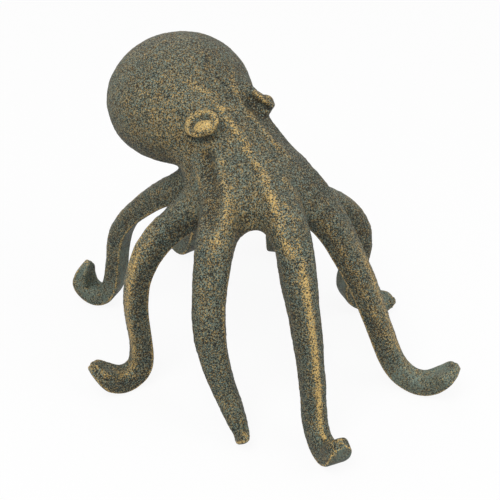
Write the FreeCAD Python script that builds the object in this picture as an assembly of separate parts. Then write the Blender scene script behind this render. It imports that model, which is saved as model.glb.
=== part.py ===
import FreeCAD, Part
import math
import os
from FreeCAD import Vector

# Octopus figurine standing on eight arms, cast in iron.  Millimetres and degrees.
# +Z is up, the octopus faces -Y and its mantle leans back towards +Y.
# The origin lies under the middle of the figurine, on the surface that it stands on.

# Web from which the arms spring; the head, the neck, the mantle and the eyes rise with it
web_height = 100.0

# Head with its hollow
head_length = 61.0
head_half_width = 30.0
head_height = 43.0
crest_above_web = 7.0
head_crest_height = web_height + crest_above_web
head_wall = 5.0
mouth_length = 38.0
mouth_width = 32.0
mouth_back = -7.0

# Neck joint between the mantle and the head
neck_back = 24.0
neck_above_crest = 12.5
neck_height = head_crest_height + neck_above_crest
neck_radius = 27.0
register_length = 6.0
register_clearance = 0.2
mantle_clearance = 0.3

# Mantle, the balloon at the back, with its middle behind and above the neck joint
mantle_radius = 34.8
mantle_rear_length = 35.8
mantle_behind_neck = 29.3
mantle_above_neck = 6.6
mantle_wall = 4.5

# Eyes
eye_out = 16.5
eye_back = 12.6
eye_above_crest = 26.0
eye_height = head_crest_height + eye_above_crest
eye_lean = 38.0
eye_pitch = 12.0
eye_ball_angle = 80.0
eye_radius = 7.6
eye_rise = 3.4
eye_seat_depth = 3.0
eye_ball_radius = 5.2
eye_ball_rise = 4.6
eye_peg_radius = 1.6
eye_peg_length = 4.0
eye_clearance = 0.1

# Arms
arm_reach = 100.0
root_width = 25.0
arm_width = 12.2
arm_thickness = 10.2
root_thickness = 20.0
tip_width = 13.5
tip_thickness = 5.2
foot_grind = 0.5
joint_distance = 46.0
tenon_radius = 3.2
tenon_length = 8.0
tenon_clearance = 0.1

# Clear of everything that a cut goes through
overrun = 1.0

# Each arm: name, bearing of its plane in degrees, farthest reach as a share of the arm reach,
# and the width of the paddle at its tip as a share of the tip width.
ARM_SHARES = (
    ("arm_left_rear", 113.9, 1.02, 1.0),
    ("arm_left_middle", 165.1, 0.86, 1.05),
    ("arm_left_front", 225.2, 0.82, 0.67),
    ("arm_front", 252.1, 1.05, 0.85),
    ("arm_right_front", 297.2, 1.105, 1.25),
    ("arm_right_middle", 342.0, 0.85, 0.95),
    ("arm_right_rear", 38.0, 1.03, 0.92),
    ("arm_rear", 86.0, 1.015, 1.0),
)

# Route of each arm: outwards as a share of its reach, upwards as a share of the way from the
# foot height to the web height, sideways as a share of its reach.
ROUTE_SHARES = {
    "arm_left_rear": (
        (0.06, 0.98, 0.00), (0.33, 0.91, 0.00), (0.57, 0.725, 0.00), (0.72, 0.49, 0.00),
        (0.785, 0.225, 0.00), (0.845, 0.05, 0.00), (0.92, -0.003, 0.00), (0.985, 0.07, 0.00),
        (0.955, 0.19, 0.00)),
    "arm_left_middle": (
        (0.07, 1.06, 0.00), (0.31, 0.97, 0.00), (0.545, 0.84, 0.00), (0.685, 0.655, 0.00),
        (0.72, 0.425, 0.00), (0.705, 0.17, 0.00), (0.745, 0.04, 0.00), (0.85, -0.004, 0.00),
        (0.985, 0.11, 0.00)),
    "arm_left_front": (
        (0.03, 1.125, -0.07), (0.29, 1.065, -0.12), (0.525, 0.95, -0.16), (0.66, 0.76, -0.18),
        (0.73, 0.52, -0.185), (0.78, 0.275, -0.125), (0.83, 0.085, -0.04), (0.88, -0.015, 0.015),
        (0.965, 0.05, 0.05)),
    "arm_front": (
        (0.04, 1.105, 0.00), (0.265, 1.065, 0.00), (0.43, 1.00, 0.00), (0.57, 0.79, 0.00),
        (0.655, 0.52, 0.00), (0.73, 0.235, 0.00), (0.79, 0.045, -0.005), (0.88, -0.010, -0.005),
        (0.975, 0.155, 0.01)),
    "arm_right_front": (
        (0.055, 1.085, 0.00), (0.285, 1.00, 0.00), (0.445, 0.785, 0.00), (0.575, 0.495, 0.00),
        (0.675, 0.225, 0.00), (0.755, 0.045, 0.00), (0.865, -0.007, 0.00), (0.995, 0.105, 0.00)),
    "arm_right_middle": (
        (0.09, 0.95, 0.00), (0.375, 0.84, 0.00), (0.60, 0.76, 0.00), (0.735, 0.60, 0.00),
        (0.745, 0.415, 0.00), (0.70, 0.235, 0.035), (0.735, 0.085, 0.08), (0.835, 0.0, 0.08),
        (0.975, 0.02, -0.035)),
    "arm_right_rear": (
        (0.08, 0.98, 0.00), (0.35, 0.885, 0.00), (0.58, 0.75, 0.00), (0.75, 0.55, 0.00),
        (0.805, 0.35, 0.00), (0.795, 0.16, 0.00), (0.815, 0.035, 0.00), (0.895, -0.015, 0.00),
        (0.99, 0.08, 0.00)),
    "arm_rear": (
        (0.04, 1.00, -0.135), (0.33, 0.875, -0.165), (0.54, 0.685, -0.185), (0.675, 0.455, -0.20),
        (0.77, 0.225, -0.21), (0.845, 0.05, -0.21), (0.92, 0.0, -0.21), (0.99, 0.08, -0.21),
        (0.96, 0.20, -0.21)),
}

# Stations along an arm: share of its length, then how far the width and the thickness have
# gone from root to shaft (0 to 1), and from shaft to tip.
STATION_SHARES = (
    (0.00, 0.00, 0.00), (0.08, 0.22, 0.00), (0.16, 0.50, 0.00), (0.24, 0.76, 0.00), (0.33, 0.91, 0.00),
    (0.43, 0.98, 0.00), (0.55, 1.00, 0.00), (0.66, 1.00, 0.00), (0.74, 1.00, 0.00), (0.80, 1.00, 0.00),
    (0.85, 1.00, 0.00), (0.89, 1.00, 0.08), (0.93, 1.00, 0.35), (0.965, 1.00, 0.75),
    (1.00, 1.00, 1.00),
)

# Arm section: half width of the flat underside and height of the long edges, as shares of the
# width and of the thickness, and the number of chords of its rounded outer face.
underside_half_share = 0.40
edge_height_share = 0.12
outer_chords = 4

# Head sections: along the head from the neck, centre height over the crest height, half width
# and half height, as shares of the head length, head height, head half width and head height.
HEAD_SHARES = (
    (0.115, 0.22, 0.885, 0.575), (0.175, 0.18, 0.885, 0.555), (0.25, 0.125, 0.91, 0.53),
    (0.36, 0.06, 0.95, 0.50), (0.48, 0.00, 0.975, 0.465), (0.60, -0.035, 0.96, 0.415),
    (0.72, -0.055, 0.89, 0.345), (0.82, -0.075, 0.77, 0.265), (0.92, -0.10, 0.56, 0.165),
    (1.00, -0.125, 0.28, 0.07),
)
CAVITY_SHARES = (
    (0.30, 0.04, 0.62, 0.30), (0.42, 0.00, 0.74, 0.33), (0.54, -0.035, 0.78, 0.30),
    (0.66, -0.06, 0.72, 0.235), (0.78, -0.085, 0.52, 0.14),
)

# Arches of the web between neighbouring arms: bearing, radius and height of the arch centre,
# the last two as shares of the arch radius and the web height.
arch_radius = 11.0
ARCH_SHARES = (
    (19, 1.0, 0.80), (57, 0.8, 0.80), (90, 0.8, 0.80), (140, 1.0, 0.78), (196, 1.0, 0.80),
    (238, 0.9, 0.82), (275, 1.0, 0.84), (318, 1.0, 0.81),
)

# Rings of the mantle, how far the last one stays from the pole as a share of a ring step, and
# chords round a ring of the head and the mantle, and of an eye
mantle_rings = 12
pole_share = 0.85
ring_chords = 40
eye_chords = 20
eye_arc_chords = 4


def unit(vector):
    """Return a copy of the vector with length 1."""
    copy = Vector(vector)
    copy.normalize()
    return copy


def faceted(rings):
    """Solid with flat facets between rings of equally many points, each ring against the next."""
    outlines = [rings[0], rings[-1]]
    for lower, upper in zip(rings, rings[1:]):
        for here in range(len(lower)):
            outlines.append([lower[here - 1], lower[here], upper[here]])
            outlines.append([lower[here - 1], upper[here], upper[here - 1]])
    shell = Part.makeShell([Part.Face(Part.makePolygon(line + line[:1])) for line in outlines])
    shell.sewShape()
    solid = Part.makeSolid(shell)
    if solid.Volume < 0:
        solid.reverse()
    return solid


def oval_ring(centre, half_width, half_height, up):
    """Points round a centre, in the plane of X and the given upward direction."""
    points = []
    for step in range(ring_chords):
        angle = 2 * math.pi * step / ring_chords
        across = Vector(half_width * math.cos(angle), 0, 0)
        points.append(centre + across + up * (half_height * math.sin(angle)))
    return points


def turned(profile, chords):
    """Solid through round rings about +Z, one for each point of a profile from its foot up."""
    rings = []
    for spot in profile:
        points = []
        for step in range(chords):
            angle = 2 * math.pi * step / chords
            points.append(Vector(spot.x * math.cos(angle), spot.x * math.sin(angle), spot.z))
        rings.append(points)
    return faceted(rings)


def neck_axis():
    """Direction from the neck joint back to the middle of the mantle."""
    return unit(Vector(0, mantle_behind_neck, mantle_above_neck))


def neck_centre():
    """Middle of the neck joint."""
    return Vector(0, neck_back, neck_height)


def along_neck(shape):
    """Carry a shape made about +Z at the origin to the neck joint, looking back."""
    turn = FreeCAD.Rotation(Vector(0, 0, 1), neck_axis())
    shape.Placement = FreeCAD.Placement(neck_centre(), turn)
    return shape


def balloon(base_radius, radius, rear_length, start, rings):
    """Turned balloon: an arc from the neck to the widest ring, then a quarter ellipse."""
    middle = Vector(0, mantle_behind_neck, mantle_above_neck).Length
    rise = radius - base_radius
    run = middle - start
    arc_radius = (run * run + rise * rise) / (2 * rise)
    sweep = math.asin(run / arc_radius)
    points = []
    front_rings = rings // 3
    for step in range(front_rings):
        angle = sweep * (1 - step / front_rings)
        away = radius - arc_radius * (1 - math.cos(angle))
        points.append(Vector(away, 0, middle - arc_radius * math.sin(angle)))
    rear_rings = rings - front_rings
    for step in range(rear_rings):
        angle = math.pi / 2 * step / (rear_rings - pole_share)
        points.append(Vector(radius * math.cos(angle), 0, middle + rear_length * math.sin(angle)))
    return turned(points, ring_chords)


def make_mantle():
    """Hollow mantle with a plain bore that takes the register of the head."""
    bore = neck_radius - mantle_wall
    outer = balloon(neck_radius, mantle_radius, mantle_rear_length, 0, mantle_rings)
    inner_length = mantle_rear_length - mantle_wall
    inner = balloon(bore, mantle_radius - mantle_wall, inner_length, register_length, mantle_rings // 2)
    mouth = Part.makeCylinder(bore, register_length + overrun, Vector(0, 0, -overrun))
    return along_neck(outer.cut([inner, mouth]).removeSplitter())


def arm_ring(centre, side, normal, width, thickness):
    """Arm section: flat underside, two sides and a rounded outer face between the long edges."""
    half = width / 2
    edge_height = thickness * edge_height_share
    rise = thickness / 2 - edge_height
    radius = (half * half + rise * rise) / (2 * rise)
    sweep = math.asin(half / radius)
    spots = [(width * underside_half_share, -thickness / 2)]
    for step in range(outer_chords + 1):
        angle = sweep * (1 - 2 * step / outer_chords)
        spots.append((radius * math.sin(angle), edge_height + rise - radius * (1 - math.cos(angle))))
    spots.append((-width * underside_half_share, -thickness / 2))
    return [centre + side * across + normal * up for across, up in spots]


class Arm:
    """One arm: its centre line, its sections and the joint where it meets the head."""

    def __init__(self, bearing, reach_share, tip_share, route_shares):
        angle = math.radians(bearing)
        self.out = Vector(math.cos(angle), math.sin(angle), 0)
        self.side = Vector(-math.sin(angle), math.cos(angle), 0)
        self.tip_width = tip_share * tip_width
        reach = reach_share * arm_reach
        foot_height = arm_thickness / 2 - foot_grind
        points = []
        for outward, upward, sideways in route_shares:
            spot = self.out * (outward * reach) + self.side * (sideways * reach)
            points.append(spot + Vector(0, 0, foot_height + upward * (web_height - foot_height)))
        curve = Part.BSplineCurve()
        curve.interpolate(points)
        self.line = curve.toShape()
        self.joint_share = joint_distance / self.line.Length

    def frame(self, share):
        """Centre, direction, side and outward normal at a share of the length."""
        parameter = self.line.getParameterByLength(share * self.line.Length)
        centre = self.line.valueAt(parameter)
        along = unit(self.line.tangentAt(parameter))
        side = unit(self.side - along * self.side.dot(along))
        return centre, along, side, along.cross(side)

    def size(self, share):
        """Width and thickness at a share of the length, between the stations."""
        for before, after in zip(STATION_SHARES, STATION_SHARES[1:]):
            if share <= after[0]:
                break
        part = min(1, (share - before[0]) / (after[0] - before[0]))
        shaft = before[1] + (after[1] - before[1]) * part
        paddle = before[2] + (after[2] - before[2]) * part
        width = root_width + (arm_width - root_width) * shaft + (self.tip_width - arm_width) * paddle
        thick = root_thickness + (arm_thickness - root_thickness) * shaft
        return width, thick + (tip_thickness - arm_thickness) * paddle

    def ring(self, share):
        """Section at a share of the length."""
        centre, along, side, normal = self.frame(share)
        width, thickness = self.size(share)
        return arm_ring(centre, side, normal, width, thickness)

    def stretch(self, start, end):
        """Stretch of the arm through the stations between two shares of the length."""
        shares = [start]
        shares += [row[0] for row in STATION_SHARES if start < row[0] < end]
        shares.append(end)
        return faceted([self.ring(share) for share in shares])

    def peg(self, radius, length):
        """Round peg from the joint into the head, with its base inside the arm."""
        centre, along, side, normal = self.frame(self.joint_share)
        base = centre + along * tenon_length
        return Part.makeCylinder(radius, tenon_length + length, base, along * -1)


def make_arm(arm):
    """Arm casting from its joint to the tip, with its tenon and its foot ground flat."""
    casting = arm.stretch(arm.joint_share, 1)
    casting = casting.fuse(arm.peg(tenon_radius, tenon_length))
    return casting.cut(floor_block()).removeSplitter()


def floor_block():
    """Everything below the surface that the figurine stands on."""
    span = web_height * 4
    return Part.makeBox(span, span, web_height, Vector(-span / 2, -span / 2, -web_height))


def head_place(share, rise_share):
    """Centre of a head section: back to front along the head, up from the crest height."""
    back = neck_back - share * head_length
    return Vector(0, back, head_crest_height + rise_share * head_height)


def head_rings(table_of_shares):
    """Rings across the head, one for each row of shares."""
    rings = []
    for share, rise, width, height in table_of_shares:
        centre = head_place(share, rise)
        rings.append(oval_ring(centre, width * head_half_width, height * head_height, Vector(0, 0, 1)))
    return rings


def head_body():
    """Outer form of the head, from the round neck joint to the front of the web."""
    upward = neck_axis().cross(Vector(-1, 0, 0))
    return faceted([oval_ring(neck_centre(), neck_radius, neck_radius, upward)] + head_rings(HEAD_SHARES))


def head_cavity():
    """Hollow of the head and the mouth under it, through which the core was held."""
    hollow = faceted(head_rings(CAVITY_SHARES))
    oval = Part.Ellipse(Vector(0, 0, 0), mouth_length / 2, mouth_width / 2).toShape()
    oval.Placement = FreeCAD.Placement(Vector(0, mouth_back, 0), FreeCAD.Rotation(Vector(0, 0, 1), 90))
    mouth = Part.Face(Part.Wire([oval])).extrude(Vector(0, 0, head_crest_height - head_wall))
    return hollow.fuse(mouth)


def web_arch(bearing, radius, height):
    """Round-topped cut through the rim of the web between two arms."""
    angle = math.radians(bearing)
    out = Vector(math.cos(angle), math.sin(angle), 0)
    side = Vector(-math.sin(angle), math.cos(angle), 0)
    base = Vector(0, mouth_back, height)
    tunnel = Part.makeCylinder(radius, head_length, base, out)
    slot = Part.makeBox(head_length, 2 * radius, radius)
    corner = base - side * radius - Vector(0, 0, radius)
    slot.Placement = FreeCAD.Placement(corner, FreeCAD.Rotation(Vector(0, 0, 1), bearing))
    return tunnel.fuse(slot)


def make_head(arms):
    """Head casting: body, eight arm stubs, the hollow, the sockets, the eye seats, the register."""
    keep_out = balloon(
        neck_radius + mantle_clearance, mantle_radius + mantle_clearance, mantle_rear_length, 0, mantle_rings)
    along_neck(keep_out)
    stubs = [arm.stretch(0, arm.joint_share).cut(keep_out) for arm in arms]
    body = head_body()
    arches = []
    for bearing, radius_share, height_share in ARCH_SHARES:
        arches.append(web_arch(bearing, radius_share * arch_radius, height_share * web_height))
    casting = body.cut(arches).fuse(stubs)
    register = Part.makeCylinder(neck_radius - mantle_wall - register_clearance, register_length - overrun)
    casting = casting.fuse(along_neck(register))
    cuts = [head_cavity()]
    for arm in arms:
        cuts.append(arm.peg(tenon_radius + tenon_clearance, tenon_length + tenon_clearance))
    for hand in (-1, 1):
        cuts.append(eye_seat(hand))
    return casting.cut(cuts).removeSplitter()


def eye_axis(hand):
    """Outward direction of an eye; hand is -1 for the left eye and 1 for the right one."""
    lean = math.radians(eye_lean)
    pitch = math.radians(eye_pitch)
    return unit(Vector(hand * math.sin(lean), -math.sin(pitch), math.cos(lean)))


def on_eye(shape, hand):
    """Carry a shape made about +Z at the origin to the foot of an eye."""
    turn = FreeCAD.Rotation(Vector(0, 0, 1), eye_axis(hand))
    shape.Placement = FreeCAD.Placement(Vector(hand * eye_out, eye_back, eye_height), turn)
    return shape


def eye_seat(hand):
    """Flat-bottomed pocket and peg hole that take an eye."""
    pocket_radius = eye_radius + eye_clearance
    pocket = Part.makeCylinder(pocket_radius, eye_seat_depth + eye_radius, Vector(0, 0, -eye_seat_depth))
    depth = eye_seat_depth + eye_peg_length + eye_clearance
    hole = Part.makeCylinder(eye_peg_radius + eye_clearance, depth, Vector(0, 0, -depth))
    return on_eye(pocket.fuse(hole), hand)


def arc_points(middle_out, middle_up, across, rise, end):
    """Points on an oval of an eye, from straight outwards round to an end angle in degrees."""
    points = []
    for step in range(eye_arc_chords + 1):
        angle = math.radians(end * step / eye_arc_chords)
        points.append(Vector(middle_out + across * math.cos(angle), 0, middle_up + rise * math.sin(angle)))
    return points


def make_eye(hand):
    """Eye casting: peg, flange with the rounded lid ring, and the ball inside the ring."""
    lid_half = (eye_radius - eye_ball_radius) / 2
    lid_base = eye_rise - lid_half
    ball_base = lid_base - lid_half
    bottom = -eye_seat_depth
    foot = bottom - eye_peg_length
    points = [Vector(eye_peg_radius, 0, foot), Vector(eye_peg_radius, 0, bottom)]
    points.append(Vector(eye_radius, 0, bottom))
    points += arc_points(eye_ball_radius + lid_half, lid_base, lid_half, lid_half, 180)
    points += arc_points(0, ball_base, eye_ball_radius, eye_ball_rise, eye_ball_angle)
    return on_eye(turned(points, eye_chords), hand)


def save(shape, name):
    """Check a solid and write its STEP file."""
    print(name, shape.ShapeType, shape.isValid(), len(shape.Solids), round(shape.Volume))
    shape.exportStep("parts/" + name + ".step")


def main():
    os.makedirs("parts", exist_ok=True)
    arms = {}
    for name, bearing, reach_share, tip_share in ARM_SHARES:
        arms[name] = Arm(bearing, reach_share, tip_share, ROUTE_SHARES[name])
    save(make_mantle(), "mantle_shell")
    save(make_head(list(arms.values())), "head_crown")
    save(make_eye(-1), "eye_left")
    save(make_eye(1), "eye_right")
    for name, arm in arms.items():
        save(make_arm(arm), name)


main()
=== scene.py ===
import logging
import math
from dataclasses import dataclass, field
from enum import Enum
from typing import Any, Iterable, Sequence

import bpy
import numpy as np
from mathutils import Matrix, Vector


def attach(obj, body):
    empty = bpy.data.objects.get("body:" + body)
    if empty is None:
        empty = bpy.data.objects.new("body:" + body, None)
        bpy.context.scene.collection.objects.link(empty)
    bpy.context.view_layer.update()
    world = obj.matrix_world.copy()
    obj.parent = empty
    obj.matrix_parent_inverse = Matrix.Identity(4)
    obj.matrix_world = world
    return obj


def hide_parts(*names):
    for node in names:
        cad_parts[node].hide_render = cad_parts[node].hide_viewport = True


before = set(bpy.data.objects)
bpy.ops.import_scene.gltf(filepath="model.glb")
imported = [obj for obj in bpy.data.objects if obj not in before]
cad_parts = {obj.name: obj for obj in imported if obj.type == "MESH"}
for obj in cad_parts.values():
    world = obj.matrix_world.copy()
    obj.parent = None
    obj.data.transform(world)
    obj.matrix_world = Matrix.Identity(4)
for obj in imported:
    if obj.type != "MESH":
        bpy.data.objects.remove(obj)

# Cast octopus figurine on eight curled arms.  Forms are worked out in millimetres in the part's
# frame, +Z up and the octopus facing -Y, and every mesh is written in metres.

LOG = logging.getLogger("octopus")
MM = 0.001
FAR = 60.0
FINE_VOXEL, QUICK_VOXEL = 0.6, 0.9

# Numbers of the castings in the order of their names: the head, the mantle, two eyes, eight arms.
HEAD, MANTLE, FIRST_EYE, FIRST_ARM = 0, 1, 2, 4

Array = np.ndarray
Pair = tuple[float, float]
Triple = tuple[float, float, float]
Colour = tuple[float, float, float, float]


class Side(Enum):
    """Which of two mirrored pieces, seen by the octopus looking along -Y from above."""

    LEFT = -1
    RIGHT = 1


class Mark(Enum):
    """What a line on the surface is: raised and rubbed bright, or sunk and dark."""

    RIDGE = 1
    GROOVE = -1


def unit(vectors: Array) -> Array:
    """Scale vectors to length 1.

    Args:
        vectors: one vector or rows of them.

    Returns:
        The same directions with length 1.
    """
    return vectors / np.maximum(np.linalg.norm(vectors, axis=-1, keepdims=True), 1e-12)


def smooth_min(first: Array, second: Array, radius: float) -> Array:
    """Join two distance fields with a fillet.

    Args:
        first: distances to the first form.
        second: distances to the second form.
        radius: how wide the fillet reaches, in millimetres.

    Returns:
        Distances to the joined form.
    """
    share = np.clip(0.5 + 0.5 * (second - first) / radius, 0, 1)
    return second + (first - second) * share - radius * share * (1 - share)


def smooth_max(first: Array, second: Array, radius: float) -> Array:
    """Keep what two distance fields share, with a rounded edge.

    Args:
        first: distances to the first form.
        second: distances to the second form.
        radius: how wide the rounding reaches, in millimetres.

    Returns:
        Distances to the common form.
    """
    return -smooth_min(-first, -second, radius)


def ramp(values: Array, low: float, high: float) -> Array:
    """Smooth step from 0 at low to 1 at high.

    Args:
        values: numbers to grade.
        low: where the step begins.
        high: where the step ends.

    Returns:
        Grades from 0 to 1.
    """
    share = np.clip((values - low) / (high - low), 0, 1)
    return share * share * (3 - 2 * share)


def bell(values: Array, middle: float, width: float) -> Array:
    """Bell-shaped grade, 1 at the middle and 0 well away from it.

    Args:
        values: numbers to grade.
        middle: where the bell is highest.
        width: how far off it has sunk to about a third.

    Returns:
        Grades from 0 to 1.
    """
    return np.exp(-(((values - middle) / width) ** 2))


def natural_curve(knots: Array, steps: int) -> Array:
    """Smooth cubic through the knots, with no bend at its ends.

    Args:
        knots: rows of points.
        steps: points on each span.

    Returns:
        Points along the curve.
    """
    count = len(knots)
    gaps = np.linalg.norm(np.diff(knots, axis=0), axis=1) ** 0.5
    system, right = np.zeros((count, count)), np.zeros(knots.shape)
    system[0, 0] = system[-1, -1] = 1
    for i in range(1, count - 1):
        before, after = gaps[i - 1], gaps[i]
        system[i, i - 1:i + 2] = before, 2 * (before + after), after
        right[i] = 6 * ((knots[i + 1] - knots[i]) / after - (knots[i] - knots[i - 1]) / before)
    bends = np.linalg.solve(system, right)
    pieces = []
    for i, gap in enumerate(gaps):
        x = (np.arange(steps + (i == count - 2)) / steps * gap)[:, None]
        slope = (knots[i + 1] - knots[i]) / gap - gap * (2 * bends[i] + bends[i + 1]) / 6
        twist = (bends[i + 1] - bends[i]) / (6 * gap)
        pieces.append(knots[i] + slope * x + bends[i] / 2 * x**2 + twist * x**3)
    return np.concatenate(pieces)


def ellipsoid(points: Array, centre: Triple, radii: Triple, tilt: float = 0.0) -> Array:
    """Distance to an ellipsoid, near enough close to it.

    Args:
        points: rows of points.
        centre: its centre.
        radii: its half lengths along X, Y and Z.
        tilt: its turn about X in degrees, rear end up.

    Returns:
        Distances, negative inside.
    """
    rel = points - np.array(centre)
    angle = math.radians(tilt)
    along = rel[:, 1] * math.cos(angle) + rel[:, 2] * math.sin(angle)
    upward = rel[:, 2] * math.cos(angle) - rel[:, 1] * math.sin(angle)
    rel = np.stack([rel[:, 0], along, upward], 1)
    scaled = np.linalg.norm(rel / np.array(radii), axis=1)
    steep = np.linalg.norm(rel / np.array(radii) ** 2, axis=1) + 1e-9
    return scaled * (scaled - 1) / steep


def round_cone(points: Array, start: Triple, end: Triple, radii: Pair, squash: float = 1.0) -> Array:
    """Distance to a cone with round ends.

    Args:
        points: rows of points.
        start: centre of the first end.
        end: centre of the second end.
        radii: radius at each end.
        squash: how much wider than tall it is.

    Returns:
        Distances, negative inside.
    """
    scale = np.array([1 / squash, 1, 1])
    narrow, base = points * scale, np.array(start) * scale
    along = np.array(end) * scale - base
    share = np.clip((narrow - base) @ along / (along @ along), 0, 1)
    radius = radii[0] + (radii[1] - radii[0]) * share
    return np.linalg.norm(narrow - base - share[:, None] * along, axis=1) - radius


class Unevenness:
    """Repeatable smooth noise on a cubic lattice, from -1 to 1."""

    def __init__(self, seed: int, size: int = 64) -> None:
        """Fill the lattice.

        Args:
            seed: number that fixes the noise.
            size: lattice points each way before it repeats.
        """
        self.size = size
        self.table = np.random.default_rng(seed).uniform(-1, 1, (size, size, size))

    def at(self, points: Array, cell: float) -> Array:
        """Noise at points.

        Args:
            points: rows of points in millimetres.
            cell: size of one lattice step in millimetres.

        Returns:
            Values from -1 to 1.
        """
        spot = points / cell
        low = np.floor(spot).astype(np.int64)
        part = spot - low
        part = part * part * (3 - 2 * part)
        total = np.zeros(len(points))
        for corner in np.ndindex(2, 2, 2):
            weight = np.prod(np.where(corner, part, 1 - part), axis=1)
            i, j, k = ((low + corner) % self.size).T
            total += weight * self.table[i, j, k]
        return total


@dataclass
class ArmForm:
    """One curled arm: its route, its sections and the crest along its outer face."""

    name: str
    bearing: float
    route: Sequence[Triple]
    sizes: Sequence[Triple]
    crest: Sequence[Pair] = ((0.0, 0.6), (0.8, 0.3), (0.9, -0.7), (1.0, -0.9))
    blend: float = 6.0
    joint: float = 46.0
    tip_length: float = 6.0
    tip_taper: float = 0.80
    samples: int = 130
    curve_steps: int = 40
    batch: int = 60000
    end_slack: float = 0.001
    crest_foot: float = 0.3
    top_round: float = 0.40
    edge_round: float = 0.15
    shine: float = 0.22
    shine_width: float = 0.42
    shine_shift: float = 0.0
    bare: float = 0.0

    def __post_init__(self) -> None:
        """Lay out the centre line with a frame and a section at each sample."""
        angle = math.radians(self.bearing)
        out = np.array([math.cos(angle), math.sin(angle), 0.0])
        side = np.array([-math.sin(angle), math.cos(angle), 0.0])
        knots = [out * away + side * across + np.array([0, 0, up]) for away, up, across in self.route]
        fine = natural_curve(np.array(knots), self.curve_steps)
        run = np.concatenate([[0], np.cumsum(np.linalg.norm(np.diff(fine, axis=0), axis=1))])
        self.length = float(run[-1])
        even = np.linspace(0, self.length, self.samples)
        self.line = np.stack([np.interp(even, run, fine[:, k]) for k in range(3)], 1)
        self.along = unit(np.gradient(self.line, axis=0))
        self.across = unit(side - (self.along @ side)[:, None] * self.along)
        self.outward = np.cross(self.along, self.across)
        share = even / self.length
        at, width, thick = np.array(self.sizes).T
        left = np.clip(1 - (self.length - even) / self.tip_length, 0, 1)
        self.half_width = np.interp(share, at, width) / 2 * np.sqrt(1 - self.tip_taper * left**2)
        self.half_thick = np.interp(share, at, thick) / 2
        crest_at, crest_rise = np.array(self.crest).T
        self.rise = np.interp(share, crest_at, crest_rise)
        self.step = self.length / (self.samples - 1)

    def locate(self, points: Array) -> dict[str, Array]:
        """Coordinates of points along, across and out of the arm.

        Args:
            points: rows of points.

        Returns:
            Sample number, across, outward and lengthwise offsets, and the section's sizes there.
        """
        nearest = np.empty(len(points), np.int64)
        length2 = (self.line**2).sum(1)
        for start in range(0, len(points), self.batch):
            part = slice(start, start + self.batch)
            nearest[part] = (length2 - 2 * points[part] @ self.line.T).argmin(1)
        off = ((points - self.line[nearest]) * self.along[nearest]).sum(1) / self.step
        spot = np.clip(nearest + np.clip(off, -0.5, 0.5), 0, self.samples - 1)
        low = np.clip(spot.astype(np.int64), 0, self.samples - 2)
        part = spot - low

        def between(values: Array) -> Array:
            """Values at the spots, from those at the samples."""
            share = part[:, None] if values.ndim == 2 else part
            return values[low] * (1 - share) + values[low + 1] * share

        rel = points - between(self.line)
        return {
            "spot": spot,
            "across": (rel * between(self.across)).sum(1),
            "outward": (rel * between(self.outward)).sum(1),
            "over": (rel * between(self.along)).sum(1),
            "half_width": between(self.half_width),
            "half_thick": between(self.half_thick),
            "rise": between(self.rise),
        }

    def distance(self, points: Array) -> Array:
        """Distance to the arm's rounded, flat-backed section, closed at both ends.

        Args:
            points: rows of points.

        Returns:
            Distances, negative inside.
        """
        place = self.locate(points)
        wide, thick = place["half_width"], place["half_thick"]
        lean = np.clip(np.abs(place["across"]) / wide, 0, 1)
        outward = place["outward"]
        raised = place["rise"] * (1 - lean) - self.crest_foot * place["rise"]
        outward = outward - np.where(outward > 0, raised, 0)
        least = 2 * np.minimum(wide, thick)
        radius = np.where(outward > 0, self.top_round, self.edge_round) * least
        radius = np.minimum(radius, least / 2)
        beyond = np.abs(place["across"]) - wide + radius
        above = np.abs(outward) - thick + radius
        last = self.samples - 1 - self.end_slack
        end = np.where(place["spot"] >= last, place["over"], 0)
        end = np.where(place["spot"] <= self.end_slack, -place["over"], end)
        outside = np.sqrt(np.maximum(beyond, 0) ** 2 + np.maximum(above, 0) ** 2 + np.maximum(end, 0) ** 2)
        return outside + np.minimum(np.maximum(beyond, above), 0) - radius

    def joint_plane(self) -> tuple[Array, Array]:
        """Where the arm meets its stub on the head.

        Returns:
            Middle of the joint, and the direction that it faces.
        """
        index = self.joint / self.step
        low = int(index)
        part = index - low
        middle = self.line[low] * (1 - part) + self.line[low + 1] * part
        return middle, unit(self.along[low] * (1 - part) + self.along[low + 1] * part)


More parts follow.
